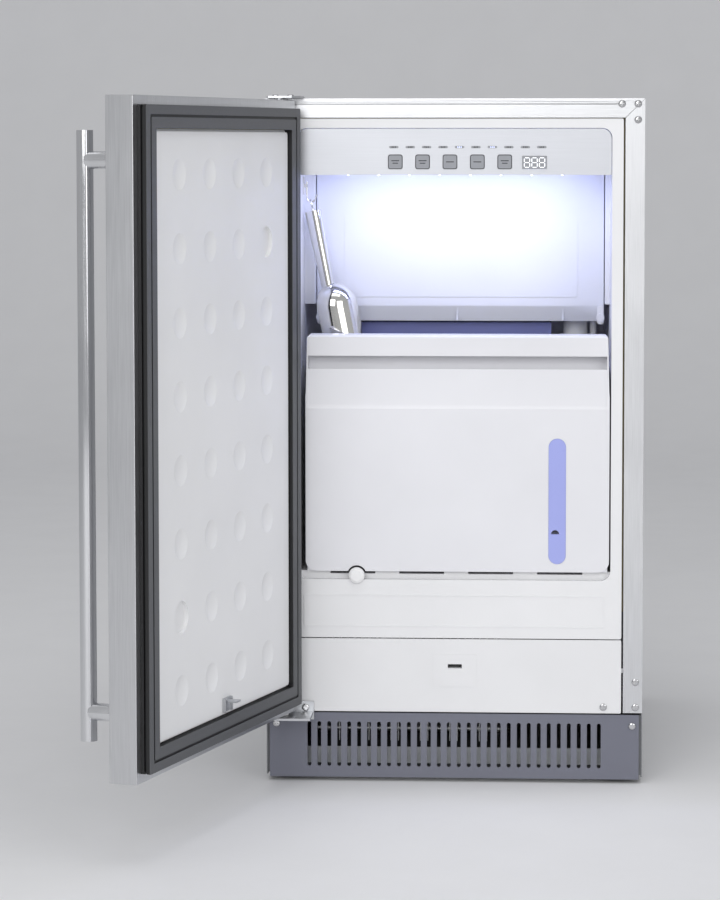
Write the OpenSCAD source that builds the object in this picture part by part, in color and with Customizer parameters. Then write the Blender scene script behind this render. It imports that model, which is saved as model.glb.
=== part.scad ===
// Built-in clear-ice maker with a left-hinged door, shown with its door open.
// +Z is up, the front faces -Y, and the origin is on the floor under the middle of the cabinet.

/* [Cabinet] */
// Width of the cabinet
cab_w = 451; // [440:1:460]
// Height of the cabinet above the floor
cab_h = 820; // [815:1:830]
// Depth of the cabinet behind its face frame
cab_d = 560; // [540:5:600]
// Width of the stainless face frame's bars
frame_bar = 23; // [18:1:26]
// Thickness of the sheet metal
sheet = 1.5; // [1:0.25:2]

/* [Cavity] */
// Width of the cavity opening
cavity_w = 374; // [370:1:378]
// Height of the cavity floor
cavity_z0 = 245; // [240:1:250]
// Height of the cavity ceiling
cavity_z1 = 785; // [780:1:790]
// Depth of the cavity
cavity_d = 426; // [410:1:440]

/* [Door] */
// Angle that the door stands open
door_open = 107.5; // [0:0.5:115]
// Width of the door
door_w = 445; // [440:1:448]
// Height of the door's bottom edge
door_z0 = 89; // [88.5:0.5:92]
// Height of the door's top edge
door_z1 = 817.5; // [814:0.5:818.5]
// Thickness of the steel door shell
door_t = 32; // [30:1:34]
// Diameter of the handle's bar
handle_d = 18; // [14:1:20]
// Length of the handle's bar
handle_len = 655; // [500:5:680]

/* [Bin] */
// Height of the bin's front lip
bin_lip_z = 538.6; // [530:0.2:540]
// Height of the bin's other walls
bin_rim_z = 498; // [460:1:500]
// Depth of the bin
bin_d = 395; // [360:5:400]

/* [Controls] */
// Number of push keys
key_n = 5; // [5:1:5]
// Width of a push key
key_w = 17; // [14:0.5:18]
// Distance between push keys
key_pitch = 32.5; // [30:0.5:36]
// Number of indicator lights
light_n = 10; // [4:1:12]

/* [Kickplate] */
// Number of air slots
slot_n = 30; // [10:1:34]
// Distance between air slots
slot_pitch = 12; // [10:0.5:12]
// Width of an air slot
slot_w = 4.7; // [3:0.1:6]

/* [Hidden] */
$fn = 48;

// Clearances
run_gap = 0.05;
seat_gap = 0.3;

// Outline of the cabinet
half_w = cab_w / 2;
frame_in = half_w - frame_bar;
frame_z0 = 86;
return_d = 20;
top_return_d = 30;
panel_y1 = cab_d - sheet;

// Liner
cavity_x = cavity_w / 2;
liner_t = 3;
flange_x = frame_in - 2.2;
flange_y = 1;
flange_z0 = 174.8;
flange_z1 = cab_h - frame_bar - 0.9;
corner_r = 12;
sill_z = cavity_z0 + 6;
sill_gap_x = 2.4;
sill_gap_pitch = 82.8;
sill_gap_w = 54;
runner_z = cavity_z0 + 9.4;
rail_y = 112;
cover_x0 = -173;
cover_x1 = 180;
cover_y = 128;
cover_z0 = 548;

// Fascia and keys
fascia_y = 3;
fascia_t = 3;
fascia_gap = 0.8;
fascia_z0 = 729.3;
led_shelf_z = fascia_z0 + 3;
key_z = 744.8;
key_x0 = -70.3;
key_travel = 0.6;
board_y = 13;
display_x = 95;
display_z = 744;
window_half_w = 14.5;
window_half_h = 7.8;
light_z = 762.3;
light_x0 = -72;
light_pitch = 19.5;

// Bin
bin_x0 = -178;
bin_x1 = 185.2;
bin_y = 3;
bin_z0 = cavity_z0 + 9.8;
bin_floor_z = cavity_z0 + 17;
bin_t = 3;
window_x = 123.2;
window_z = 340;
window_w = 21;
window_h = 151;

// Drain plug
plug_x = -116.6;
plug_z = 250.2;
plug_r = 3.5;
plug_head_r = 9.7;

// Scoop: the hook's lowest point and the scoop's lean
hook_x = -177;
hook_y = 85;
hook_z = 695.5;
hook_r = 5;
wire_r = 1.1;
scoop_lean = 11.3;
bowl_r = 28;

// Lower panel and switch
panel_z0 = 85.2;
panel_z1 = 173.6;
switch_x = 1.2;
switch_z = 140.9;
switch_plate_z = 135.5;
switch_plate_w = 52;
switch_plate_h = 39;

// Kickplate
kick_z0 = 5;
kick_z1 = 83.3;
kick_y = 2;

// Hinge axis, and the door's layers measured back from its outer face
hinge_x = -206;
hinge_y = -26;
hinge_pin_r = 4;
bush_r = 6;
gasket_t = 11;
gasket_inset = 10;
liner_inset = 38;
liner_step = 6;
door_y0 = -(door_t + gasket_t + 1.5);
door_back_y = door_y0 + door_t;
door_face_y = door_back_y + liner_step;
door_x = door_w / 2;
door_mid_z = (door_z0 + door_z1) / 2;
dimple_pitch = 80;
pocket_d = 4.6;

// Handle
handle_x = door_x - 35;
handle_stand = 41;
post_span = 591.4;

// Machine compartment
pan_z = 14;
foot_x = 190;
foot_y = 235;
fan_x = -55;
fan_z = 112;
fan_r = 56;
fan_shaft_r = 3;
comp_x = 120;
comp_y = 455;
comp_r = 66;
valve_x = -150;
valve_z = 110;
drain_x = -60;
drain_y = 380;
drain_z = 70;
gland_x = 170;
gland_z = 70;

screw_head_r = 4.45;
frame_screw_x = half_w - 8.3;
screw_points = [
    [frame_screw_x, cab_h - 6.5], [frame_screw_x - 19, cab_h - 6.5],
    [frame_screw_x, cab_h - 25.3], [frame_screw_x, 123.4],
    [-frame_screw_x, cab_h - 6.5], [-frame_screw_x + 19, cab_h - 6.5],
    [-frame_screw_x, cab_h - 25.3], [-frame_screw_x, 123.4],
    [frame_screw_x, 93]
];

// ---------- shared shapes ----------

// Moves from the face frame's plane to the cabinet's middle
module cab() {
    translate([0, -cab_d / 2, 0]) children();
}

// Places a door part, drawn with the door shut
module on_door() {
    cab() translate([hinge_x, hinge_y, 0]) rotate([0, 0, -door_open])
        translate([-hinge_x, -hinge_y, 0]) children();
}

module block(x0, x1, y0, y1, z0, z1) {
    translate([x0, y0, z0]) cube([x1 - x0, y1 - y0, z1 - z0]);
}

// Extrudes an X-Z outline back from y
module facing(y, t) {
    translate([0, y + t, 0]) rotate([90, 0, 0]) linear_extrude(t) children();
}

// Extrudes a Y-Z outline from x0 to x1
module across(x0, x1) {
    translate([x0, 0, 0]) rotate([90, 0, 90]) linear_extrude(x1 - x0) children();
}

module round_rect(x0, x1, z0, z1, r) {
    translate([x0 + r, z0]) square([x1 - x0 - 2 * r, z1 - z0]);
    translate([x0, z0 + r]) square([x1 - x0, z1 - z0 - 2 * r]);
    for (x = [x0 + r, x1 - r], z = [z0 + r, z1 - r]) translate([x, z]) circle(r);
}

module slot_shape(x, z, w, h) {
    translate([x - w / 2, z - h / 2 + w / 2]) square([w, h - w]);
    for (s = [-1, 1]) translate([x, z + s * (h - w) / 2]) circle(w / 2);
}

module rod_x(x0, x1, y, z, r) {
    translate([x0, y, z]) rotate([0, 90, 0]) cylinder(r = r, h = x1 - x0);
}

module rod_y(x, y0, y1, z, r) {
    translate([x, y0, z]) rotate([-90, 0, 0]) cylinder(r = r, h = y1 - y0);
}

module rod_z(x, y, z0, z1, r) {
    translate([x, y, z0]) cylinder(r = r, h = z1 - z0);
}

// Pan-head screw in a plate whose face is at y, with its head towards -Y
module pan_screw(x, y, z) {
    translate([x, y, z]) rotate([90, 0, 0]) difference() {
        union() {
            rotate_extrude() polygon([
                [0, 0], [screw_head_r, 0], [screw_head_r, 0.9], [3.9, 1.8], [2.8, 2.3], [0, 2.5]
            ]);
            translate([0, 0, -8]) cylinder(r = 2, h = 8);
        }
        for (a = [0, 90]) rotate([0, 0, a]) translate([-2.4, -0.45, 1.2]) cube([4.8, 0.9, 2]);
    }
}

module screw_holes(y0, y1) {
    for (p = screw_points) rod_y(p[0], y0, y1, p[1], 2.3);
}

// ---------- cabinet ----------

module base_pan() {
    x = half_w - 2 * sheet - 1;
    color("silver") cab() difference() {
        union() {
            difference() {
                block(-x, x, 42, panel_y1 - 1, pan_z, pan_z + 20);
                block(-x + sheet, x - sheet, 42 + sheet, panel_y1 - 1 - sheet,
                      pan_z + sheet, pan_z + 21);
            }
            for (sx = [-1, 1], sy = [-1, 1])
                rod_z(sx * foot_x, cab_d / 2 + sy * foot_y, pan_z, pan_z + 14, 8);
        }
        for (sx = [-1, 1], sy = [-1, 1])
            rod_z(sx * foot_x, cab_d / 2 + sy * foot_y, pan_z - 1, pan_z + 21, 4 + run_gap);
        rod_z(0, 300, pan_z - 1, pan_z + 5, 12);
    }
}

module levelling_feet() {
    color("dimgray") for (sx = [-1, 1], sy = [-1, 1]) translate([sx * foot_x, sy * foot_y, 0]) {
        cylinder(r = 18, h = 6);
        translate([0, 0, 6]) cylinder(r1 = 14, r2 = 7, h = 5);
        cylinder(r = 4, h = pan_z + 16);
    }
}

// Side sheet with the flanges that hold the top panel and the kickplate
module side_panel() {
    inner = half_w - sheet;
    across(inner, half_w) polygon([
        [return_d + 0.4, frame_z0 - 0.4], [kick_y, frame_z0 - 0.4], [kick_y, 8], [panel_y1 - 0.3, 8],
        [panel_y1 - 0.3, cab_h - sheet - 0.2], [return_d + 0.4, cab_h - sheet - 0.2]
    ]);
    difference() {
        block(inner - 20, inner, kick_y + 2.3, kick_y + 3.8, 10, frame_z0 - 3);
        rod_y(half_w - 11.8, 0, 10, 69.8, 2.3);
    }
    block(inner - 12, inner, top_return_d + 2, panel_y1 - 0.3, cab_h - 3.4, cab_h - sheet - 0.2);
}

module side_panel_left() {
    color("gray") cab() mirror([1, 0, 0]) side_panel();
}

module side_panel_right() {
    color("gray") cab() side_panel();
}

module top_panel() {
    color("gray") cab() block(-half_w, half_w, top_return_d + 0.4, panel_y1 - 0.3, cab_h - sheet, cab_h);
}

module back_panel() {
    color("gray") cab() difference() {
        block(-half_w, half_w, panel_y1, cab_d, 40, cab_h);
        for (i = [0:6]) facing(panel_y1 - 1, 4)
            slot_shape(-30 + i * 16, 150, 6, 50);
        rod_y(valve_x, panel_y1 - 1, cab_d + 1, valve_z, 16);
        rod_y(drain_x, panel_y1 - 1, cab_d + 1, drain_z, 10);
        rod_y(gland_x, panel_y1 - 1, cab_d + 1, gland_z, 9);
    }
}

module face_frame_top() {
    low = cab_h - frame_bar;
    color("lightgray") cab() difference() {
        union() {
            facing(0, sheet) polygon([[-half_w, cab_h], [half_w, cab_h], [frame_in, low], [-frame_in, low]]);
            block(-half_w, half_w, sheet, top_return_d, cab_h - sheet, cab_h);
            block(-frame_in, frame_in, sheet, 12, low, low + 1);
        }
        screw_holes(-1, 3);
        for (x = [-196, -214]) rod_z(x, 14, cab_h - 5, cab_h + 1, 2.3);
    }
}

module face_stile() {
    low = cab_h - frame_bar;
    difference() {
        union() {
            facing(0, sheet) polygon([
                [frame_in, low - 0.4], [half_w, cab_h - 0.4], [half_w, frame_z0], [frame_in, frame_z0]
            ]);
            block(half_w - sheet, half_w, sheet, return_d, frame_z0, cab_h - sheet - 0.2);
            block(frame_in, frame_in + 1, sheet, 12, frame_z0, low - 2);
        }
        screw_holes(-1, 3);
    }
}

module face_frame_left() {
    color("lightgray") cab() difference() {
        mirror([1, 0, 0]) face_stile();
        block(-half_w + 3, -frame_in + 1, -1, 3, 80, 98);
    }
}

module face_frame_right() {
    color("lightgray") cab() face_stile();
}

module cabinet_screws() {
    color("silver") cab() {
        for (p = screw_points) pan_screw(p[0], 0, p[1]);
        for (s = [-1, 1]) pan_screw(s * (half_w - 11.8), kick_y, 69.8);
        pan_screw(179, flange_y, 92.8);
        pan_screw(-178, -2.7, 90.2);
        // flush screw that the door's corner passes over
        rod_y(-207, -2.7, 5.3, 91, 2);
        for (x = [-196, -214]) translate([x, 14, cab_h + 2.5]) rotate([-90, 0, 0]) pan_screw(0, 0, 0);
    }
}

// ---------- cavity ----------

// Shoulders for the ice unit's cover, runners for the bin, and a sill with four low gaps
module liner_blocks() {
    for (x = [[-cavity_x - 1, cover_x0 - 1.2], [cover_x1 + 1.2, cavity_x + 1]])
        block(x[0], x[1], rail_y, rail_y + 48, 570, cavity_z1 + 1);
    for (x = [-184, 168]) block(x, x + 16, 24, cavity_d - 10, cavity_z0 - 1, runner_z);
    difference() {
        block(-cavity_x - 1, cavity_x + 1, 10, 22, cavity_z0 - 1, runner_z);
        for (i = [0:3]) block(sill_gap_x + (i - 1.5) * sill_gap_pitch - sill_gap_w / 2,
            sill_gap_x + (i - 1.5) * sill_gap_pitch + sill_gap_w / 2, 9, 23, sill_z, runner_z + 1);
    }
}

module inner_liner() {
    color("white") cab() difference() {
        union() {
            difference() {
                union() {
                    facing(flange_y, liner_t) round_rect(-flange_x, flange_x, flange_z0, flange_z1, 2);
                    facing(flange_y, cavity_d + liner_t)
                        round_rect(-cavity_x - liner_t, cavity_x + liner_t, cavity_z0 - liner_t,
                                   cavity_z1 + liner_t, corner_r + liner_t);
                }
                facing(0, cavity_d) round_rect(-cavity_x, cavity_x, cavity_z0, cavity_z1, corner_r);
            }
            intersection() {
                facing(0, cavity_d + 2) round_rect(-cavity_x - 1, cavity_x + 1, cavity_z0 - 1,
                                                   cavity_z1 + 1, corner_r + 1);
                liner_blocks();
            }
            rod_y(plug_x, 8, 24, plug_z, 5);
            // shallow rib round the front of the lower flange
            facing(flange_y - 0.7, 1.2) difference() {
                round_rect(-180, 180, 188.4, 227, 3);
                round_rect(-178.6, 178.6, 189.8, 225.6, 2);
            }
        }
        rod_y(plug_x, 0, 30, plug_z, plug_r + run_gap);
        rod_z(drain_x, drain_y, cavity_z0 - 10, cavity_z0 + 5, 9);
    }
}

module insulation() {
    x = half_w - sheet - 13;
    color("khaki") cab() difference() {
        block(-x, x, 21, 470, 205, cab_h - 4);
        facing(20, cavity_d - 14 + liner_t) round_rect(-cavity_x - liner_t - seat_gap,
            cavity_x + liner_t + seat_gap, cavity_z0 - liner_t - seat_gap,
            cavity_z1 + liner_t + seat_gap, corner_r + liner_t);
        rod_z(drain_x, drain_y, 200, 260, 12);
    }
}

module key_hole(i) {
    x = key_x0 + i * key_pitch;
    w = key_w / 2 + 0.3;
    facing(fascia_y - 1, fascia_t + 2) round_rect(x - w, x + w, key_z - w, key_z + w, 2.8);
}

module control_fascia() {
    x = cavity_x - fascia_gap;
    z1 = cavity_z1 - fascia_gap;
    color("slategray") cab() difference() {
        union() {
            facing(fascia_y, fascia_t) intersection() {
                round_rect(-x, x, fascia_z0 - 30, z1, corner_r);
                translate([-x, fascia_z0]) square([2 * x, z1 - fascia_z0]);
            }
            block(-x, x, fascia_y + fascia_t, 44, led_shelf_z, led_shelf_z + 2);
            block(-x, x, fascia_y + fascia_t, fascia_y + fascia_t + 2, fascia_z0, led_shelf_z + 1);
            for (s = [-1, 1]) block(s * 150 - 2, s * 150 + 2, 6, 44, led_shelf_z + 1, z1 - 4);
        }
        for (i = [0:key_n - 1]) key_hole(i);
        facing(fascia_y - 1, fascia_t + 2) round_rect(display_x - window_half_w - 0.2,
            display_x + window_half_w + 0.2, display_z - window_half_h - 0.2,
            display_z + window_half_h + 0.2, 1.2);
        for (i = [0:light_n - 1]) facing(fascia_y - 1, fascia_t + 2)
            round_rect(light_x0 + i * light_pitch - 5.6, light_x0 + i * light_pitch + 5.6,
                light_z - 1.3, light_z + 1.3, 1.25);
    }
}

module push_key(i) {
    x = key_x0 + (i - 1) * key_pitch;
    w = key_w / 2;
    color("lightslategray") cab() {
        facing(fascia_y - 0.3, fascia_t + 0.6) round_rect(x - w, x + w, key_z - w, key_z + w, 2.5);
        facing(fascia_y + fascia_t + 0.3, 1.2)
            round_rect(x - w - 1.5, x + w + 1.5, key_z - w - 1.5, key_z + w + 1.5, 2.5);
        rod_y(x, fascia_y + fascia_t + 1, board_y - 1.7, key_z, 2.5);
    }
}

module display_window() {
    color("black") cab() facing(fascia_y - 0.1, fascia_t + 1)
        round_rect(display_x - window_half_w, display_x + window_half_w,
                   display_z - window_half_h, display_z + window_half_h, 1);
}

module indicator_lights() {
    color("aliceblue") cab() for (i = [0:light_n - 1]) facing(fascia_y - 0.1, fascia_t)
        round_rect(light_x0 + i * light_pitch - 5.5, light_x0 + i * light_pitch + 5.5,
            light_z - 1.15, light_z + 1.15, 1.1);
}

module control_board() {
    color("green") cab() {
        block(-110, 125, board_y, board_y + 1.6, fascia_z0 + 7, cavity_z1 - 8);
        for (i = [0:key_n - 1]) rod_y(key_x0 + i * key_pitch, board_y - 0.9, board_y + 0.5, key_z, 3);
        for (i = [0:2]) block(-90 + i * 26, -70 + i * 26, board_y + 1, board_y + 17, 745, 760);
        block(20, 44, board_y + 1, board_y + 12, 750, 762);
        for (x = [62, 78]) rod_y(x, board_y + 1, board_y + 20, 752, 5);
    }
}

module led_strip() {
    z = led_shelf_z - 0.2;
    color("lavender") cab() {
        block(-160, 160, 24, 36, z - 2, z);
        for (i = [0:7]) translate([-128 + i * 36.6, 30, z - 2]) sphere(r = 1.8);
    }
}

// ---------- ice unit ----------

module ice_unit_cover() {
    fold_z = 568;
    t = 2.2;
    back = cover_y + 22;
    color("lavender") cab() {
        across(cover_x0, cover_x1) polygon([
            [cover_y, 778], [cover_y, fold_z], [cover_y + 9, cover_z0], [back, cover_z0],
            [back, cover_z0 + t], [cover_y + 10.4, cover_z0 + t], [cover_y + t, fold_z + 0.5],
            [cover_y + t, 778]
        ]);
        for (x = [cover_x0, cover_x1 - t]) block(x, x + t, cover_y + 1, cover_y + 28, fold_z, 778);
        // raised lower field, whose top edge shows as a line
        facing(cover_y - 0.7, 1.5) round_rect(-139, 148, fold_z + 10, 682, 4);
        for (x = [-130, 0, 130]) block(x - 1, x + 1, cover_y + 1, cover_y + 20, cover_z0 + 1, fold_z + 30);
    }
}

module cover_clips() {
    color("gainsboro") cab() for (x = [cover_x0 + 4, cover_x1 - 4]) {
        facing(cover_y - 4.4, 4) round_rect(x - 4, x + 4, 545, 567, 3);
        rod_y(x, cover_y - 7, cover_y - 4, 553, 5);
    }
}

module evaporator_plate() {
    color("silver") cab() translate([0, 170, 640]) rotate([14, 0, 0]) {
        translate([-140, 0, 0]) cube([280, 230, 2.5]);
        for (x = [-140, 138]) translate([x, 0, 0]) cube([2, 230, 14]);
    }
}

// Serpentine tube fixed under the evaporator plate
module evaporator_coil() {
    runs = 8;
    pitch = 24;
    r = 4;
    color("peru") cab() translate([0, 170, 640]) rotate([14, 0, 0]) translate([0, 24, -r - 0.3]) {
        for (i = [0:runs - 1]) rod_x(-110, 110, i * pitch, 0, r);
        for (i = [0:runs - 2]) translate([(i % 2 == 0 ? 1 : -1) * 110, (i + 0.5) * pitch, 0])
            rotate([0, 0, i % 2 == 0 ? -90 : 90])
                rotate_extrude(angle = 180) translate([pitch / 2, 0]) circle(r);
    }
}

module water_distributor() {
    color("white") cab() difference() {
        union() {
            rod_x(-135, 135, 396, 722, 9);
            rod_x(128, 140, 396, 722, 11);
            rod_z(134, 396, 722, 745, 6);
        }
        rod_x(-130, 130, 396, 722, 7);
        for (i = [0:12]) rod_z(-120 + i * 20, 396 - 5, 708, 722, 1.2);
    }
}

module water_trough() {
    color("slateblue") cab() difference() {
        block(-122, 116, cover_y + 26, cover_y + 74, 512, 545);
        block(-119, 113, cover_y + 29, cover_y + 71, 515, 546);
    }
}

module water_pump() {
    color("whitesmoke") cab() {
        rod_z(146, cover_y + 50, 506, 530, 20);
        rod_z(146, cover_y + 50, 530, 560, 15);
        rod_z(146, cover_y + 50, 560, 575, 5);
        rod_z(168, cover_y + 50, 515, 640, 4);
        rod_x(146, 168, cover_y + 50, 515, 4);
        block(116.5, 130, cover_y + 46, cover_y + 54, 512, 520);
    }
}

// Frame strung with the wires that cut the slab into cubes
module cutter_grid() {
    w = 250;
    d = 210;
    color("gainsboro") cab() translate([-w / 2 - 3, 208, 560]) rotate([8, 0, 0]) {
        difference() {
            cube([w, d, 16]);
            translate([8, 8, -1]) cube([w - 16, d - 16, 18]);
        }
        for (i = [1:9]) rod_x(4, w - 4, i * d / 10, 5, 0.6);
        for (i = [1:11]) rod_y(i * w / 12, 4, d - 4, 11, 0.6);
    }
}

module scoop_hook() {
    color("silver") cab() translate([hook_x, hook_y, hook_z + hook_r]) {
        rotate([90, 0, 0]) rotate([0, 0, 180])
            rotate_extrude(angle = 180) translate([hook_r, 0]) circle(wire_r);
        rod_z(-hook_r, 0, 0, 20, wire_r);
        translate([hook_r, 0, 0]) rotate([0, 30, 0]) cylinder(r = wire_r, h = 5);
        block(-cavity_x - hook_x + 0.2, -hook_r + 0.5, -2, 2, 13, 17);
        block(-cavity_x - hook_x + 0.2, -hook_r - 2.5, -6, 6, 4, 26);
    }
}

// ---------- scoop ----------

// Places a scoop part, drawn hanging straight down from the hook's lowest point
module on_hook() {
    cab() translate([hook_x, hook_y, hook_z]) rotate([0, -scoop_lean, 0]) children();
}

handle_top = -11;
handle_end = -105;
ring_r = 4.9;

module scoop_handle() {
    color("silver") on_hook() {
        translate([0, 0, handle_end]) cylinder(r1 = 7.8, r2 = 10.2, h = handle_top - handle_end);
        translate([0, 0, wire_r - ring_r + 0.9 + 0.8]) rotate([0, 90, 0])
            rotate_extrude() translate([ring_r, 0]) circle(0.9);
        translate([0, 0, handle_top - 2]) cylinder(r = 1.4, h = 6);
    }
}

// Half-round bowl with a domed end, its mouth turned to the wall
module scoop_bowl() {
    bowl_end = handle_end - 0.2;
    bowl_len = 58;
    wall = 1.2;
    c = bowl_end - bowl_r + 4;
    color("silver") on_hook() translate([3, 0, 0]) rotate([0, 0, 45]) difference() {
        union() {
            translate([0, 0, c]) sphere(r = bowl_r);
            translate([0, 0, c - bowl_len]) cylinder(r = bowl_r, h = bowl_len);
        }
        translate([0, 0, c]) sphere(r = bowl_r - wall);
        translate([0, 0, c - bowl_len - 1]) cylinder(r = bowl_r - wall, h = bowl_len + 1);
        translate([-bowl_r - 1, 0, c - bowl_len - 1]) cube([2 * bowl_r + 2, bowl_r + 1, 2 * bowl_r + bowl_len]);
        rotate([0, 0, -45]) translate([-3, 0, handle_end - 0.1]) cylinder(r = 12, h = 30);
    }
}

// ---------- bin ----------

module bin_outline() {
    r = 13;
    intersection() {
        union() {
            round_rect(bin_x0, bin_x1, bin_z0, bin_lip_z - 60, r);
            polygon([
                [bin_x0, 300], [bin_x0, 450.5], [bin_x0 + 2, bin_lip_z - 3], [bin_x0 + 5, bin_lip_z],
                [bin_x1 - 5, bin_lip_z], [bin_x1 - 2, bin_lip_z - 3], [bin_x1, 450.5], [bin_x1, 300]
            ]);
        }
        translate([bin_x0, bin_z0]) square([bin_x1 - bin_x0, bin_lip_z - bin_z0]);
    }
}

module bin_body() {
    lip_low = bin_lip_z - 25;
    tub_x0 = bin_x0 + 2;
    tub_x1 = bin_x1 - 2;
    y1 = bin_y + bin_d;
    color("white") cab() difference() {
        union() {
            intersection() {
                union() {
                    across(bin_x0, bin_x1) polygon([
                        [bin_y, bin_z0], [bin_y, 450.5], [bin_y + 24, lip_low], [bin_y + 1, lip_low],
                        [bin_y + 1, bin_lip_z - 2.5], [bin_y + 3.5, bin_lip_z], [bin_y + 30, bin_lip_z],
                        [bin_y + 30, lip_low + 2], [bin_y + bin_t, 447], [bin_y + bin_t, bin_z0]
                    ]);
                    for (x = [bin_x0, bin_x1 - 3]) across(x, x + 3) polygon([
                        [bin_y, 450], [bin_y + 1, lip_low], [bin_y + 1, bin_lip_z - 3],
                        [bin_y + 29, bin_lip_z - 3], [bin_y + 29, 450]
                    ]);
                }
                facing(bin_y - 1, 40) bin_outline();
            }
            difference() {
                block(tub_x0, tub_x1, bin_y + 2, y1, bin_z0, bin_rim_z);
                block(tub_x0 + bin_t, tub_x1 - bin_t, bin_y + bin_t, y1 - bin_t,
                      bin_floor_z + bin_t, bin_rim_z + 1);
                block(tub_x0 + bin_t, tub_x1 - bin_t, bin_y + bin_t, y1 + 1, bin_z0 - 1, bin_floor_z);
            }
        }
        facing(bin_y - 1, bin_t + 3) slot_shape(window_x, window_z, window_w, window_h);
        rod_y(plug_x, bin_y - 1, bin_y + 8, plug_z, plug_head_r + 1.8);
        block(tub_x0 - 1, tub_x1 + 1, bin_y + 1.9, bin_y + bin_t + 0.1, bin_z0 - 1, bin_z0 + 0.01);
    }
}

module bin_window() {
    color("mediumpurple") cab() difference() {
        facing(bin_y + 0.3, bin_t - 0.6) slot_shape(window_x, window_z, window_w - 0.4, window_h - 0.4);
        facing(bin_y - 1, bin_t + 2) intersection() {
            translate([window_x - 2.4, 300.5]) circle(5);
            translate([window_x - 8, 300.5]) square([12, 7]);
        }
    }
}

module drain_plug() {
    color("white") cab() {
        translate([plug_x, bin_y - 8.8, plug_z]) rotate([-90, 0, 0]) rotate_extrude() polygon([
            [0, 0], [6.5, 0.3], [8.8, 1.5], [plug_head_r, 3.5], [plug_head_r, 6.6], [0, 6.6]
        ]);
        rod_y(plug_x, bin_y - 3, 23, plug_z, plug_r);
    }
}

// ---------- lower front ----------

module lower_access_panel() {
    w = switch_plate_w / 2 - 3;
    h = switch_plate_h / 2 - 3;
    color("white") cab() difference() {
        facing(flange_y, 2) round_rect(-flange_x, flange_x, panel_z0, panel_z1, 1.5);
        facing(flange_y - 1, 4) round_rect(switch_x - w, switch_x + w, switch_plate_z - h, switch_plate_z + h, 2);
        for (x = [-178, 179]) rod_y(x, -1, 5, x < 0 ? 90 : 92.8, 2.3);
    }
}

module switch_plate() {
    w = switch_plate_w / 2;
    h = switch_plate_h / 2;
    color("white") cab() difference() {
        union() {
            facing(flange_y - 0.8, 0.7) round_rect(switch_x - w, switch_x + w,
                switch_plate_z - h, switch_plate_z + h, 1.5);
            facing(flange_y - 0.2, 3) round_rect(switch_x - w + 3.3, switch_x + w - 3.3,
                switch_plate_z - h + 3.3, switch_plate_z + h - 3.3, 1.5);
            block(switch_x - 14, switch_x + 14, 3, 26, switch_z - 9, switch_z + 9);
        }
        block(switch_x - 8.4, switch_x + 8.4, -1, 24, switch_z - 2.5, switch_z + 2.5);
    }
}

module switch_plunger() {
    color("dimgray") cab() block(switch_x - 7, switch_x + 7, 9.4, 18, switch_z - 2.2, switch_z + 2.2);
}

module kickplate() {
    x = half_w - sheet - 2.2;
    mid = 45.3;
    color("slategray") cab() difference() {
        union() {
            facing(kick_y, 2) difference() {
                round_rect(-x, x, kick_z0, kick_z1, 1);
                for (i = [0:slot_n - 1])
                    slot_shape((i - (slot_n - 1) / 2) * slot_pitch, mid, slot_w, 54.3);
            }
            block(-x + 25, x - 25, kick_y + 1, kick_y + 12, kick_z1 - 1.5, kick_z1);
        }
        for (s = [-1, 1]) rod_y(s * (half_w - 11.8), 0, 6, 69.8, 2.3);
    }
}

// ---------- machine compartment ----------

module compressor() {
    z0 = 40;
    color("black") cab() {
        translate([comp_x, comp_y, z0]) rotate_extrude() polygon(concat(
            [[0, 4], [comp_r - 12, 4], [comp_r - 4, 12], [comp_r - 4, 66], [comp_r, 66], [comp_r, 72]],
            [for (a = [0:10:90]) [(comp_r - 4) * cos(a), 72 + 62 * sin(a)]]
        ));
        for (s = [-1, 1]) block(comp_x + s * 50 - 14, comp_x + s * 50 + 14, comp_y - 88, comp_y + 88, z0, z0 + 5);
        block(comp_x - comp_r - 16, comp_x - comp_r + 8, comp_y - 18, comp_y + 18, 75, 115);
        rod_z(comp_x + 30, comp_y - 20, 150, 185, 4);
    }
}

module compressor_mounts() {
    color("dimgray") cab() for (sx = [-50, 50], sy = [-78, 78])
        rod_z(comp_x + sx, comp_y + sy, pan_z + sheet, 40, 11);
}

module condenser() {
    color("silver") cab() {
        for (i = [0:23]) block(-160 + i * 9, -159 + i * 9, 60, 98, 38, 190);
        for (iz = [0:4], iy = [0:1]) rod_x(-168, 55, 70 + iy * 18, 52 + iz * 30, 4);
        for (iz = [0:4]) for (x = [-168, 55]) translate([x, 79, 52 + iz * 30])
            rotate([0, 0, x < 0 ? 90 : -90]) rotate_extrude(angle = 180) translate([9, 0]) circle(4);
        block(-164, -162, 58, 100, pan_z + sheet, 192);
        block(49, 51, 58, 100, pan_z + sheet, 192);
    }
}

module fan_shroud() {
    color("dimgray") cab() difference() {
        union() {
            block(-160, 47, 100, 102, pan_z + sheet + 0.3, 192);
            rod_y(fan_x, 100, 122, fan_z, fan_r + 5);
        }
        rod_y(fan_x, 99, 123, fan_z, fan_r + 3);
    }
}

module fan_motor() {
    color("gray") cab() {
        rod_y(fan_x, 134, 172, fan_z, 24);
        rod_y(fan_x, 106, 136, fan_z, fan_shaft_r);
        block(fan_x - 8, fan_x + 8, 150, 156, pan_z + sheet, fan_z - 20);
        block(fan_x - 25, fan_x + 25, 140, 166, pan_z + sheet, pan_z + sheet + 3);
    }
}

module fan_blades() {
    color("black") cab() translate([fan_x, 0, fan_z]) difference() {
        union() {
            rod_y(0, 108, 128, 0, 15);
            intersection() {
                for (i = [0:4]) rotate([0, i * 72, 0]) translate([0, 118, 0]) rotate([0, 0, 28])
                    translate([-17, -1, 10]) cube([34, 2, fan_r]);
                rod_y(0, 100, 135, 0, fan_r);
            }
        }
        rod_y(0, 99, 136, 0, fan_shaft_r + run_gap);
    }
}

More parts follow.
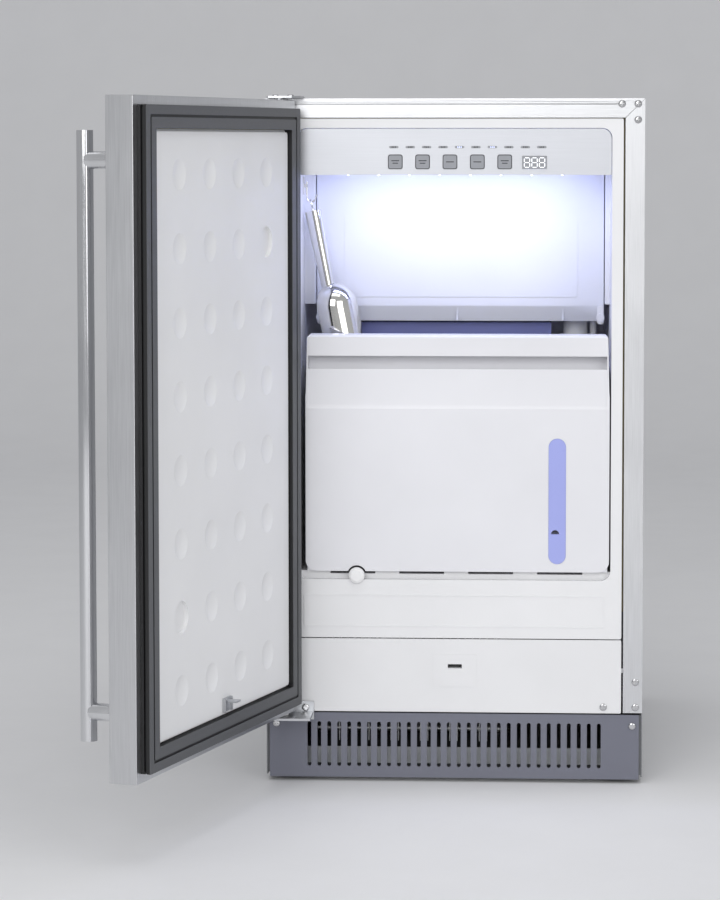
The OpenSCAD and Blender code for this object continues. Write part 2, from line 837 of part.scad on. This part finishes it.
module filter_dryer() {
    color("peru") cab() {
        rod_x(-60, 20, 300, 60, 11);
        translate([20, 300, 60]) rotate([0, 90, 0]) cylinder(r1 = 11, r2 = 3, h = 14);
        translate([-60, 300, 60]) rotate([0, -90, 0]) cylinder(r1 = 11, r2 = 3, h = 14);
        rod_x(-95, 55, 300, 60, 3);
        for (x = [-45, 5]) block(x - 4, x + 4, 296, 304, pan_z + sheet, 50);
    }
}

module water_inlet_valve() {
    color("white") cab() {
        rod_y(valve_x, panel_y1 - 40, cab_d - 1, valve_z, 14.5);
        rod_y(valve_x, cab_d - 1, cab_d + 18, valve_z, 13.4);
        block(valve_x - 16, valve_x + 16, panel_y1 - 40, panel_y1 - 14, valve_z, valve_z + 42);
        rod_y(valve_x, panel_y1 - 62, panel_y1 - 40, valve_z, 5);
        block(valve_x - 26, valve_x + 26, panel_y1 - 3, panel_y1 - 0.2, valve_z - 18, valve_z + 18);
    }
}

module drain_fitting() {
    color("white") cab() {
        difference() {
            union() {
                rod_z(drain_x, drain_y, 205, cavity_z0 - liner_t - 0.2, 11.5);
                rod_z(drain_x, drain_y, drain_z, 206, 8);
                translate([drain_x, drain_y, drain_z]) sphere(r = 8);
                rod_y(drain_x, drain_y, cab_d + 2, drain_z, 7.4);
                rod_y(drain_x, cab_d + 2, cab_d + 28, drain_z, 8);
            }
            rod_z(drain_x, drain_y, drain_z, 260, 5.5);
            rod_y(drain_x, drain_y, cab_d + 30, drain_z, 5.5);
        }
    }
}

module power_inlet() {
    color("black") cab() difference() {
        union() {
            rod_y(gland_x, panel_y1 - 12, cab_d + 3, gland_z, 8.8);
            rod_y(gland_x, cab_d + 0.2, cab_d + 6, gland_z, 13);
            rod_y(gland_x, panel_y1 - 6, panel_y1 - 0.3, gland_z, 13);
        }
        rod_y(gland_x, panel_y1 - 14, cab_d + 8, gland_z, 4.5);
    }
}

// ---------- hinges ----------

module hinge_bracket_top() {
    y1 = top_return_d - 2;
    color("dimgray") cab() difference() {
        union() {
            translate([0, 0, cab_h]) linear_extrude(2.5) {
                polygon([[-223, y1], [-180, y1], [-180, -30], [-190, hinge_y - 12], [-218, hinge_y - 12],
                         [-222, -12]]);
                translate([hinge_x, hinge_y]) circle(12);
            }
            rod_z(hinge_x, hinge_y, door_z1 - 14, cab_h + 1, hinge_pin_r);
        }
        for (x = [-196, -214]) rod_z(x, 14, cab_h - 1, cab_h + 4, 2.3);
    }
}

module hinge_bracket_bottom() {
    shelf = door_z0 - 3.6;
    color("silver") cab() difference() {
        union() {
            block(-222, -168, -2.7, 0, 75.5, 97.5);
            block(-222, -169, -50, -2, shelf - 2.7, shelf);
            rod_z(hinge_x, hinge_y, shelf - 1, door_z0 + 14, hinge_pin_r);
        }
        for (p = [[-178, 90.2], [-207, 91]]) rod_y(p[0], -5, 5, p[1], 2.3);
        for (p = [[-182, -20], [-176, -38], [-188, -40]]) rod_z(p[0], p[1], shelf - 5, shelf + 1, 2.2);
    }
}

module hinge_bushes() {
    color("white") on_door() for (z = [door_z0 - 3.2, door_z1 - 16.4]) difference() {
        union() {
            rod_z(hinge_x, hinge_y, z, z + 16, bush_r);
            if (z < door_z0) rod_z(hinge_x, hinge_y, z, z + 2.8, 9.5);
        }
        rod_z(hinge_x, hinge_y, z - 1, z + 17, hinge_pin_r + run_gap);
    }
}

// ---------- door ----------

module door_shell() {
    t = 1.2;
    lip = liner_inset - 12;
    color("silver") on_door() difference() {
        union() {
            difference() {
                block(-door_x, door_x, door_y0, door_back_y, door_z0, door_z1);
                block(-door_x + t, door_x - t, door_y0 + t, door_back_y + 1, door_z0 + t, door_z1 - t);
            }
            facing(door_back_y - t, t) difference() {
                round_rect(-door_x, door_x, door_z0, door_z1, 0.5);
                round_rect(-door_x + lip, door_x - lip, door_z0 + lip, door_z1 - lip, 8);
            }
        }
        rod_z(hinge_x, hinge_y, door_z0 - 1, door_z0 + 5, bush_r + seat_gap);
        rod_z(hinge_x, hinge_y, door_z1 - 5, door_z1 + 1, bush_r + seat_gap);
        for (s = [-1, 1]) rod_y(handle_x, door_y0 - 1, door_y0 + 5, door_mid_z + s * post_span / 2, 3.2);
    }
}

module door_foam() {
    t = 1.6;
    color("khaki") on_door() difference() {
        block(-door_x + t, door_x - t, door_y0 + t, door_back_y - t, door_z0 + t, door_z1 - t);
        for (z = [door_z0, door_z1 - 20]) rod_z(hinge_x, hinge_y, z, z + 20, bush_r + seat_gap);
        for (s = [-1, 1]) rod_y(handle_x, door_y0, door_y0 + 14, door_mid_z + s * post_span / 2, 5);
    }
}

// Dished inner panel, with two deeper pockets
module door_liner() {
    x = door_x - liner_inset;
    z0 = door_z0 + liner_inset;
    z1 = door_z1 - liner_inset;
    color("white") on_door() difference() {
        union() {
            facing(door_back_y + 0.2, liner_step - 0.2) round_rect(-x, x, z0, z1, 4);
            facing(door_back_y + 0.2, 1.8) round_rect(-x - 2.6, x + 2.6, z0 - 2.6, z1 + 2.6, 4);
        }
        for (ix = [0:3], iz = [0:7])
            let (px = (ix - 1.5) * dimple_pitch, pz = door_mid_z + (3.5 - iz) * dimple_pitch)
                if ((ix == 0 && iz == 1) || (ix == 3 && iz == 6))
                    rod_y(px, door_face_y - pocket_d, door_face_y + 1, pz, 18);
                else
                    translate([px, door_face_y + 47, pz]) sphere(r = 50);
    }
}

// Magnetic seal: a hollow frame with a grooved face
module door_gasket() {
    g = gasket_inset;
    w = liner_inset - 3 - g;
    x = door_x - g;
    y0 = door_back_y + 0.1;
    color("dimgray") on_door() difference() {
        facing(y0, gasket_t - 0.1) difference() {
            round_rect(-x, x, door_z0 + g, door_z1 - g, 2);
            round_rect(-x + w, x - w, door_z0 + g + w, door_z1 - g - w, 2);
        }
        facing(y0 + gasket_t - 1.6, 3) difference() {
            round_rect(-x + 10, x - 10, door_z0 + g + 10, door_z1 - g - 10, 2);
            round_rect(-x + 13, x - 13, door_z0 + g + 13, door_z1 - g - 13, 2);
        }
        facing(y0 + 4, 2.5) difference() {
            round_rect(-x - 1, x + 1, door_z0 + g - 1, door_z1 - g + 1, 2);
            round_rect(-x + 3, x - 3, door_z0 + g + 3, door_z1 - g - 3, 2);
        }
    }
}

module handle_bar() {
    y = door_y0 - handle_stand;
    color("silver") on_door() difference() {
        rod_z(handle_x, y, door_mid_z - handle_len / 2, door_mid_z + handle_len / 2, handle_d / 2);
        for (s = [-1, 1]) rod_y(handle_x, y, y + handle_d, door_mid_z + s * post_span / 2, 4.05);
    }
}

module handle_posts() {
    y = door_y0 - handle_stand;
    color("silver") on_door() for (s = [-1, 1]) {
        difference() {
            rod_y(handle_x, y + 3, door_y0 - 0.1, door_mid_z + s * post_span / 2, 9.5);
            rod_z(handle_x, y, door_mid_z + s * post_span / 2 - 20, door_mid_z + s * post_span / 2 + 20,
                  handle_d / 2 + 0.1);
        }
        rod_y(handle_x, y + 2, door_y0, door_mid_z + s * post_span / 2, 4);
        rod_y(handle_x, door_y0 - 1, door_y0 + 12, door_mid_z + s * post_span / 2, 3);
    }
}

module striker_bracket() {
    y = door_face_y;
    z0 = door_z0 + liner_inset;
    color("silver") on_door() {
        block(switch_x - 10, switch_x + 10, y + 0.2, y + 1.4, z0 + 2, switch_z + 4);
        for (x = [switch_x - 10, switch_x + 8.8]) block(x, x + 1.2, y + 0.2, y + 4.2, z0 + 2, switch_z + 4);
        block(switch_x - 6.5, switch_x + 6.5, y + 0.2, 9, switch_z - 1, switch_z + 1);
    }
}

base_pan();
side_panel_left();
side_panel_right();
top_panel();
back_panel();
face_frame_top();
face_frame_left();
face_frame_right();
cabinet_screws();
inner_liner();
insulation();
control_fascia();
display_window();
indicator_lights();
control_board();
led_strip();
ice_unit_cover();
cover_clips();
evaporator_plate();
evaporator_coil();
water_distributor();
water_trough();
water_pump();
cutter_grid();
scoop_hook();
lower_access_panel();
switch_plate();
kickplate();
compressor();
compressor_mounts();
condenser();
fan_shroud();
fan_motor();
filter_dryer();
water_inlet_valve();
drain_fitting();
power_inlet();
hinge_bracket_top();
hinge_bracket_bottom();
levelling_feet();
push_key(1);  // push_key_1
push_key(2);  // push_key_2
push_key(3);  // push_key_3
push_key(4);  // push_key_4
push_key(5);  // push_key_5
fan_blades();
switch_plunger();
bin_body();
bin_window();
drain_plug();
scoop_bowl();
scoop_handle();
door_shell();
door_foam();
door_liner();
door_gasket();
handle_bar();
handle_posts();
striker_bracket();
hinge_bushes();
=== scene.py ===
import math

import bmesh
import bpy
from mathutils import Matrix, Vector


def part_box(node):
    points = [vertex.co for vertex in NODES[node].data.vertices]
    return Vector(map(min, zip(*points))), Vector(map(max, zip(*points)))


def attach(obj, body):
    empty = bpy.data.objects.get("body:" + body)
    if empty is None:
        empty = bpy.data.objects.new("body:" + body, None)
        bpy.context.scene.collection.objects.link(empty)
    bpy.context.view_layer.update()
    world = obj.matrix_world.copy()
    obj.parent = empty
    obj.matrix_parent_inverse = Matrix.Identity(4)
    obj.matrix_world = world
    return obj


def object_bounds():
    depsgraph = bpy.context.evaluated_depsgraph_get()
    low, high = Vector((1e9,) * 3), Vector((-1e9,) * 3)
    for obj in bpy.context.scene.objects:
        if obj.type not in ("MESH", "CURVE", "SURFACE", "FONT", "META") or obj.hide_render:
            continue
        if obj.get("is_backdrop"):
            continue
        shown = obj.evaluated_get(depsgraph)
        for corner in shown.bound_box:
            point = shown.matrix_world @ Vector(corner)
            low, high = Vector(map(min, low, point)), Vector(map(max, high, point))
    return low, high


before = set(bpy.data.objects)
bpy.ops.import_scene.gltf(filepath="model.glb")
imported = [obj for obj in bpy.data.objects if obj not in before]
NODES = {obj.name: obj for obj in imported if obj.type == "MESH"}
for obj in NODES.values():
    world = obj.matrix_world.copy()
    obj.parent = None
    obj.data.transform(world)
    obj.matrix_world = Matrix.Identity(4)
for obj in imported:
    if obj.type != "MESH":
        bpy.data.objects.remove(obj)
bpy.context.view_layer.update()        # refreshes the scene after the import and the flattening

SCENE = bpy.context.scene
SCENE.view_settings.view_transform = "Standard"

DOOR_OPEN = math.radians(107.5)     # how far the door stands open at rest
SEAL_FACE = -0.0800                 # distance of the seal's face along the door's inward direction


# ---------- materials ----------

def new_material(name):
    mat = bpy.data.materials.new(name)
    mat.use_nodes = True
    tree = mat.node_tree
    shader = next(n for n in tree.nodes if n.type == "BSDF_PRINCIPLED")
    return mat, tree, shader


def coords(tree, scale):
    """Object coordinates, which are the row frame in metres, times a scale."""
    tex = tree.nodes.new("ShaderNodeTexCoord")
    mapping = tree.nodes.new("ShaderNodeMapping")
    mapping.inputs["Scale"].default_value = scale
    tree.links.new(tex.outputs["Object"], mapping.inputs["Vector"])
    return mapping.outputs["Vector"]


def noise(tree, scale, detail=3.0, rough=0.5, stretch=(1, 1, 1)):
    node = tree.nodes.new("ShaderNodeTexNoise")
    node.inputs["Scale"].default_value = scale
    node.inputs["Detail"].default_value = detail
    node.inputs["Roughness"].default_value = rough
    tree.links.new(coords(tree, stretch), node.inputs["Vector"])
    return node.outputs["Fac"]


def between(tree, fac, low, high, src=(0.3, 0.7)):
    node = tree.nodes.new("ShaderNodeMapRange")
    node.inputs["From Min"].default_value = src[0]
    node.inputs["From Max"].default_value = src[1]
    node.inputs["To Min"].default_value = low
    node.inputs["To Max"].default_value = high
    tree.links.new(fac, node.inputs["Value"])
    return node.outputs["Result"]


def two_tone(tree, fac, dark, light, span=(0.3, 0.7)):
    node = tree.nodes.new("ShaderNodeValToRGB")
    node.color_ramp.elements[0].position = span[0]
    node.color_ramp.elements[0].color = (*dark, 1)
    node.color_ramp.elements[1].position = span[1]
    node.color_ramp.elements[1].color = (*light, 1)
    tree.links.new(fac, node.inputs["Fac"])
    return node.outputs["Color"]


def bump(tree, shader, height, strength, distance):
    node = tree.nodes.new("ShaderNodeBump")
    node.inputs["Strength"].default_value = strength
    node.inputs["Distance"].default_value = distance
    tree.links.new(height, node.inputs["Height"])
    tree.links.new(node.outputs["Normal"], shader.inputs["Normal"])


def shade(color, k):
    return tuple(min(1.0, c * k) for c in color)


def brushed(name, color, grain, rough=0.34, depth=0.05, contrast=0.07):
    """Brushed metal whose grain runs along one axis."""
    mat, tree, shader = new_material(name)
    stretch = [1.0, 1.0, 1.0]
    stretch["XYZ".index(grain)] = 0.012
    lines = noise(tree, 1500, 2.5, 0.6, stretch)
    cloud = noise(tree, 7, 2)
    shader.inputs["Metallic"].default_value = 1.0
    tree.links.new(two_tone(tree, lines, shade(color, 1 - contrast), shade(color, 1 + contrast)),
                   shader.inputs["Base Color"])
    mixed = tree.nodes.new("ShaderNodeMath")
    mixed.operation = "ADD"
    tree.links.new(between(tree, lines, -0.04, 0.04), mixed.inputs[0])
    tree.links.new(between(tree, cloud, rough - 0.03, rough + 0.04), mixed.inputs[1])
    tree.links.new(mixed.outputs[0], shader.inputs["Roughness"])
    bump(tree, shader, lines, depth, 0.0004)
    return mat


def metal(name, color, rough=0.12, spread=0.05):
    """Plain metal with faint smudges and fine scratches."""
    mat, tree, shader = new_material(name)
    cloud = noise(tree, 38, 4)
    fine = noise(tree, 900, 3, 0.7)
    shader.inputs["Metallic"].default_value = 1.0
    tree.links.new(two_tone(tree, cloud, shade(color, 0.93), shade(color, 1.04)), shader.inputs["Base Color"])
    tree.links.new(between(tree, cloud, rough, rough + spread), shader.inputs["Roughness"])
    bump(tree, shader, fine, 0.03, 0.0002)
    return mat


def plastic(name, color, rough=0.35, coat=0.0, grain=650, depth=0.05, variation=0.02, specular=0.5):
    """Moulded or painted surface with a faint orange peel and slight mottling."""
    mat, tree, shader = new_material(name)
    cloud = noise(tree, 9, 3)
    peel = noise(tree, grain, 2)
    tree.links.new(two_tone(tree, cloud, shade(color, 1 - variation), shade(color, 1 + variation)),
                   shader.inputs["Base Color"])
    tree.links.new(between(tree, peel, rough - 0.03, rough + 0.05), shader.inputs["Roughness"])
    shader.inputs["Specular IOR Level"].default_value = specular
    shader.inputs["Coat Weight"].default_value = coat
    shader.inputs["Coat Roughness"].default_value = 0.15
    bump(tree, shader, peel, depth, 0.0003)
    return mat


def rubber(name, color):
    """Matt rubber with a fine grain and faint dust."""
    mat, tree, shader = new_material(name)
    cloud = noise(tree, 30, 4)
    fine = noise(tree, 1400, 2)
    tree.links.new(two_tone(tree, cloud, shade(color, 0.85), shade(color, 1.15)), shader.inputs["Base Color"])
    tree.links.new(between(tree, fine, 0.42, 0.58), shader.inputs["Roughness"])
    bump(tree, shader, fine, 0.12, 0.0003)
    return mat


def seal(name, painted_shade_side, face):
    """Door seal: near black down its sides as painted shade in the folds, greyer on the face that the cabinet
    presses.
    """
    mat, tree, shader = new_material(name)
    inward = (math.sin(DOOR_OPEN), math.cos(DOOR_OPEN), 0.0)
    tex = tree.nodes.new("ShaderNodeTexCoord")
    along = tree.nodes.new("ShaderNodeVectorMath")
    along.operation = "DOT_PRODUCT"
    along.inputs[1].default_value = inward
    tree.links.new(tex.outputs["Object"], along.inputs[0])
    unshaded_face_mask = between(tree, along.outputs["Value"], 0.0, 1.0, (SEAL_FACE - 0.0008, SEAL_FACE - 0.0002))
    fine = noise(tree, 1400, 2)
    # The sides are painted near black as shade in the seal's folds; the face keeps the grey of the vinyl.
    tree.links.new(two_tone(tree, unshaded_face_mask, painted_shade_side, face, (0.0, 1.0)), shader.inputs["Base Color"])
    tree.links.new(between(tree, fine, 0.42, 0.58), shader.inputs["Roughness"])
    bump(tree, shader, fine, 0.12, 0.0003)
    return mat


def glowing(name, color, strength):
    """A lit lens: bright, and uneven as a diffuser is."""
    mat, tree, shader = new_material(name)
    cloud = noise(tree, 320, 2)
    tone = two_tone(tree, cloud, shade(color, 0.85), color)
    tree.links.new(tone, shader.inputs["Base Color"])
    tree.links.new(tone, shader.inputs["Emission Color"])
    shader.inputs["Emission Strength"].default_value = strength
    tree.links.new(between(tree, cloud, 0.25, 0.4), shader.inputs["Roughness"])
    return mat


STEEL = (0.62, 0.625, 0.64)
M = {
    "steel_z": brushed("steel_vertical_grain", STEEL, "Z"),
    "steel_x": brushed("steel_cross_grain", STEEL, "X"),
    "handle": brushed("handle_steel", (0.66, 0.665, 0.68), "Z", 0.12, 0.03, 0.05),
    "polished": metal("polished_steel", (0.80, 0.79, 0.76), 0.05, 0.04),
    "post": metal("satin_steel", (0.70, 0.705, 0.72), 0.22),
    "zinc": metal("zinc_plate", (0.55, 0.56, 0.58), 0.28, 0.1),
    "screw": metal("screw_steel", (0.55, 0.55, 0.56), 0.14),
    "galvanised": metal("galvanised_sheet", (0.58, 0.60, 0.62), 0.4, 0.15),
    "cabinet": plastic("cabinet_paint", (0.16, 0.165, 0.175), 0.42),
    "kick": plastic("kickplate_paint", (0.16, 0.165, 0.205), 0.38, grain=1100, depth=0.1),
    "liner": plastic("liner_white", (0.80, 0.80, 0.81), 0.38),
    "panel": plastic("panel_white", (0.78, 0.78, 0.79), 0.42, grain=900),
    "door_liner": plastic("door_liner_white", (0.80, 0.80, 0.805), 0.5, grain=1500, depth=0.12),
    "cover": plastic("cover_white", (0.78, 0.79, 0.83), 0.4),
    "bin": plastic("bin_white", (0.77, 0.77, 0.80), 0.33),
    "plug": plastic("plug_white", (0.84, 0.84, 0.84), 0.3),
    "window": plastic("bin_window_tint", (0.36, 0.40, 0.80), 0.3, coat=0.3),
    "fascia": brushed("fascia_grey", (0.52, 0.53, 0.56), "X", 0.4, 0.04, 0.03),
    "key": plastic("key_grey", (0.30, 0.31, 0.335), 0.4),
    "lens": plastic("display_lens", (0.28, 0.29, 0.31), 0.3, coat=0.3),
    "board": plastic("board_green", (0.02, 0.13, 0.06), 0.45),
    "foam": plastic("rigid_foam", (0.72, 0.62, 0.36), 0.9, grain=260, depth=0.6, variation=0.08),
    # The seal's first colour is painted shade for its folded sides; the second is the vinyl's grey on its
    # face.
    "seal": seal("vinyl_seal_painted_shade", (0.007, 0.007, 0.008), (0.09, 0.093, 0.10)),
    "black_rubber": rubber("black_rubber", (0.02, 0.02, 0.021)),
    "copper": metal("copper_tube", (0.72, 0.38, 0.25), 0.25, 0.12),
    "enamel": plastic("black_enamel", (0.016, 0.016, 0.018), 0.3, coat=0.3),
    "black": plastic("black_plastic", (0.022, 0.022, 0.024), 0.45),
    "grey": plastic("grey_plastic", (0.16, 0.16, 0.17), 0.45),
    "fins": brushed("aluminium_fins", (0.68, 0.69, 0.70), "Z", 0.35),
    "tray": plastic("tray_blue", (0.16, 0.18, 0.42), 0.4),
    "led": glowing("led_lens", (0.62, 0.68, 1.0), 6.0),
    "digit": glowing("digit_white", (0.93, 0.95, 1.0), 1.0),
    "lamp_lit": glowing("indicator_lit", (0.62, 0.68, 1.0), 1.1),
    "mark": plastic("key_mark", (0.05, 0.052, 0.06), 0.5),
}

FINISH = {
    "base_pan": "galvanised", "side_panel_left": "cabinet", "side_panel_right": "cabinet",
    "top_panel": "cabinet", "back_panel": "galvanised", "face_frame_top": "steel_x",
    "face_frame_left": "steel_z", "face_frame_right": "steel_z", "cabinet_screws": "screw",
    "inner_liner": "liner", "insulation": "foam", "control_fascia": "fascia", "display_window": "lens",
    "indicator_lights": "lens", "control_board": "board", "led_strip": "led",
    "ice_unit_cover": "cover", "cover_clips": "liner", "evaporator_plate": "polished",
    "evaporator_coil": "copper", "water_distributor": "liner", "water_trough": "tray",
    "water_pump": "liner", "cutter_grid": "polished", "scoop_hook": "polished",
    "lower_access_panel": "panel", "switch_plate": "panel", "kickplate": "kick", "compressor": "enamel",
    "compressor_mounts": "black_rubber", "condenser": "fins", "fan_shroud": "black", "fan_motor": "grey",
    "filter_dryer": "copper", "water_inlet_valve": "grey", "drain_fitting": "grey",
    "power_inlet": "black", "hinge_bracket_top": "zinc", "hinge_bracket_bottom": "zinc",
    "levelling_feet": "black", "fan_blades": "black", "switch_plunger": "black", "bin_body": "bin",
    "bin_window": "window", "drain_plug": "plug", "scoop_bowl": "polished", "scoop_handle": "polished",
    "door_shell": "steel_z", "door_foam": "foam", "door_liner": "door_liner", "door_gasket": "seal",
    "handle_bar": "handle", "handle_posts": "post", "striker_bracket": "zinc", "hinge_bushes": "plug",
}
for i in range(1, 6):
    FINISH[f"push_key_{i}"] = "key"
for node, obj in NODES.items():
    obj.data.materials.clear()
    obj.data.materials.append(M[FINISH[node]])


# ---------- softened edges on the CAD parts ----------

def soften(node, width, angle=35):
    """Joins the part's split corners, rounds its sharp edges a little and shades it smoothly."""
    obj = NODES[node]
    weld = obj.modifiers.new("weld", "WELD")
    weld.merge_threshold = 0.00001
    bevel = obj.modifiers.new("edge", "BEVEL")
    bevel.width = width
    bevel.segments = 2
    bevel.limit_method = "ANGLE"
    bevel.angle_limit = math.radians(angle)
    bevel.use_clamp_overlap = True
    bevel.harden_normals = False
    normals = obj.modifiers.new("normals", "WEIGHTED_NORMAL")
    normals.keep_sharp = False


# ---------- small pieces that only the looks need ----------

def from_bmesh(name, bm, material, body, smooth=True):
    mesh = bpy.data.meshes.new(name)
    bm.to_mesh(mesh)
    bm.free()
    for poly in mesh.polygons:
        poly.use_smooth = smooth
    mesh.materials.append(M[material])
    obj = bpy.data.objects.new(name, mesh)
    SCENE.collection.objects.link(obj)
    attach(obj, body)
    return obj


def add_loop(bm, points):
    return [bm.verts.new(p) for p in points]


def rounded(cx, cz, w, h, r, n=5):
    """Outline of a rounded rectangle in X and Z."""
    pts = []
    for sx, sz, a0 in ((1, 1, 0), (-1, 1, 90), (-1, -1, 180), (1, -1, 270)):
        for k in range(n + 1):
            a = math.radians(a0 + 90 * k / n)
            pts.append((cx + sx * (w / 2 - r) + r * math.cos(a), cz + sz * (h / 2 - r) + r * math.sin(a)))
    return pts


def add_plate(bm, outline, y, t):
    """A plate with a bevelled front edge, facing -Y."""
    e = min(t * 0.4, 0.0002)
    cx = sum(p[0] for p in outline) / len(outline)
    cz = sum(p[1] for p in outline) / len(outline)
    size = max(max(abs(p[0] - cx), abs(p[1] - cz)) for p in outline)
    k = 1 - e / size
    inner = add_loop(bm, [(cx + (x - cx) * k, y, cz + (z - cz) * k) for x, z in outline])
    front = add_loop(bm, [(x, y + e, z) for x, z in outline])
    back = add_loop(bm, [(x, y + t, z) for x, z in outline])
    n = len(outline)
    for i in range(n):
        j = (i + 1) % n
        bm.faces.new((inner[i], inner[j], front[j], front[i]))
        bm.faces.new((front[i], front[j], back[j], back[i]))
    bm.faces.new(inner)
    bm.faces.new(list(reversed(back)))
    bmesh.ops.recalc_face_normals(bm, faces=bm.faces)


def add_ring(bm, outer, inner, y, t):
    """A flat frame between two outlines that have the same number of points."""
    loops = [add_loop(bm, [(x, yy, z) for x, z in o]) for o, yy in
             ((outer, y + t), (outer, y), (inner, y), (inner, y + t))]
    n = len(outer)
    for a, b in zip(loops, loops[1:] + loops[:1]):
        for i in range(n):
            j = (i + 1) % n
            bm.faces.new((a[i], a[j], b[j], b[i]))
    bmesh.ops.recalc_face_normals(bm, faces=bm.faces)


# Seven-segment digits on the display window
win_lo, win_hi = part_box("display_window")
win_x, win_z = (win_lo.x + win_hi.x) / 2, (win_lo.z + win_hi.z) / 2
bm = bmesh.new()
DIGIT_W, DIGIT_H, DIGIT_PITCH, STROKE = 0.0064, 0.0112, 0.0089, 0.0009
for d in (-1, 0, 1):
    for ix, iz, across in ((0, 1, True), (0, 0, True), (0, -1, True),
                           (-1, 0.5, False), (1, 0.5, False), (-1, -0.5, False), (1, -0.5, False)):
        cx = win_x + d * DIGIT_PITCH + ix * DIGIT_W / 2
        cz = win_z + iz * DIGIT_H / 2
        length = (DIGIT_W if across else DIGIT_H / 2) - STROKE * 1.6
        w, h = (length, STROKE) if across else (STROKE, length)
        add_plate(bm, rounded(cx, cz, w, h, STROKE * 0.45, 2), win_lo.y - 0.0001, 0.0002)
from_bmesh("display_digits", bm, "digit", "cabinet")

# Plain ticks over the indicator lights, two groups of them lit
lights_lo, lights_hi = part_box("indicator_lights")
lights_z = (lights_lo.z + lights_hi.z) / 2
FIRST_LIGHT_X, LIGHT_PITCH, LIT = -0.072, 0.0195, (4, 6)
for name, lit, material in (("indicator_ticks", False, "mark"), ("indicator_ticks_lit", True, "lamp_lit")):
    bm = bmesh.new()
    for i in range(10):
        if (i in LIT) == lit:
            for dx in (-0.0020, 0.0, 0.0020):
                x = FIRST_LIGHT_X + i * LIGHT_PITCH + dx
                add_plate(bm, rounded(x, lights_z, 0.0012, 0.0016, 0.0003, 2), lights_lo.y - 0.0001, 0.0002)
    from_bmesh(name, bm, material, "cabinet")

# Thin dark outline and a generic mark on each key
OUTLINE_W, OUTLINE_STROKE, PRINT_LIFT, PRINT_T = 0.0170, 0.0014, 0.00008, 0.0002
for i in range(1, 6):
    lo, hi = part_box(f"push_key_{i}")
    cx, cz = (lo.x + hi.x) / 2, (lo.z + hi.z) / 2
    inside = OUTLINE_W - OUTLINE_STROKE
    bm = bmesh.new()
    add_ring(bm, rounded(cx, cz, OUTLINE_W, OUTLINE_W, 0.0025), rounded(cx, cz, inside, inside, 0.0020),
             lo.y - PRINT_LIFT, PRINT_T)
    widths = ((0.0095, 0.0014), (0.0068, -0.0016)) if i in (1, 2, 5) else ((0.0095, 0.0),)
    for length, dz in widths:
        add_plate(bm, rounded(cx, cz + dz, length, 0.0011, 0.0005, 2), lo.y - PRINT_LIFT, PRINT_T)
    from_bmesh(f"key_print_{i}", bm, "mark", f"key_{i}")

for node, width in (
    ("door_shell", 0.0007), ("face_frame_top", 0.0003), ("face_frame_left", 0.0003),
    ("face_frame_right", 0.0003), ("side_panel_left", 0.0003), ("side_panel_right", 0.0003),
    ("top_panel", 0.0003), ("bin_body", 0.0012), ("kickplate", 0.0003), ("lower_access_panel", 0.0004),
    ("switch_plate", 0.0003), ("ice_unit_cover", 0.0006), ("hinge_bracket_bottom", 0.0006),
    ("hinge_bracket_top", 0.0005), ("door_gasket", 0.0006), ("striker_bracket", 0.0003),
):
    soften(node, width)


# ---------- camera, floor and light ----------

def look(obj, target):
    obj.rotation_mode = "QUATERNION"
    obj.rotation_quaternion = (Vector(target) - obj.location).to_track_quat("-Z", "Y")


CAMERA_PLACE = (0.1046, -3.779, 0.7660)
CAMERA_PAN, CAMERA_TILT = math.radians(-2.670), math.radians(-3.845)
SENSOR_MM, LENS_MM = 36, 117.85
SHIFT_X, SHIFT_Y = -0.05, -0.12
LAMP_AIM = (0, -0.2, 0.4)

cam = bpy.data.objects.new("camera", bpy.data.cameras.new("camera"))
SCENE.collection.objects.link(cam)
SCENE.camera = cam
cam.data.sensor_width = SENSOR_MM
cam.data.lens = LENS_MM
cam.data.shift_x = SHIFT_X
cam.data.shift_y = SHIFT_Y
cam.data.clip_start = 0.05
cam.data.clip_end = 60
cam.location = CAMERA_PLACE
look(cam, cam.location + Vector((math.sin(CAMERA_PAN) * math.cos(CAMERA_TILT),
                                 math.cos(CAMERA_PAN) * math.cos(CAMERA_TILT),
                                 math.sin(CAMERA_TILT))))


def lamp(name, place, target, size, power, color=(1, 1, 1), size_y=None):
    data = bpy.data.lights.new(name, "AREA")
    data.shape = "RECTANGLE"
    data.size = size
    data.size_y = size_y or size
    data.energy = power
    data.color = color
    obj = bpy.data.objects.new(name, data)
    SCENE.collection.objects.link(obj)
    obj.location = place
    look(obj, target)
    return obj


# Floor and back wall in one sweep, so that the horizon stays soft
bm = bmesh.new()
profile = [(-9.0, 0.0)] + [(3.2 + 1.6 * math.sin(math.radians(a)), 1.6 - 1.6 * math.cos(math.radians(a)))
                            for a in range(0, 91, 10)] + [(4.8, 7.0)]
rows = [[bm.verts.new((x, y, z)) for y, z in profile] for x in (-9.0, 9.0)]
for i in range(len(profile) - 1):
    bm.faces.new((rows[0][i], rows[1][i], rows[1][i + 1], rows[0][i + 1]))
M["stage"] = plastic("stage_paint", (0.80, 0.80, 0.81), 0.55, grain=60, depth=0.01, variation=0.01)
mesh = bpy.data.meshes.new("stage_sweep")
bm.to_mesh(mesh)
bm.free()
for poly in mesh.polygons:
    poly.use_smooth = True
mesh.materials.append(M["stage"])
sweep = bpy.data.objects.new("stage_sweep", mesh)
SCENE.collection.objects.link(sweep)
sweep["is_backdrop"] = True

lamp("key_light", (-0.9, -4.6, 2.0), LAMP_AIM, 2.6, 65)
lamp("fill_light", (2.2, -4.0, 1.4), LAMP_AIM, 2.2, 32)
lamp("top_light", (0.0, -0.8, 3.0), LAMP_AIM, 2.4, 22)
lamp("cavity_light", (0.003, -0.236, 0.728), (0.003, -0.16, 0.62), 0.30, 0.30, (0.50, 0.56, 1.0), 0.02)

world = bpy.data.worlds.new("studio")
SCENE.world = world
world.use_nodes = True
back = world.node_tree.nodes["Background"]
back.inputs["Color"].default_value = (0.80, 0.81, 0.83, 1)
back.inputs["Strength"].default_value = 0.58

lo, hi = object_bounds()
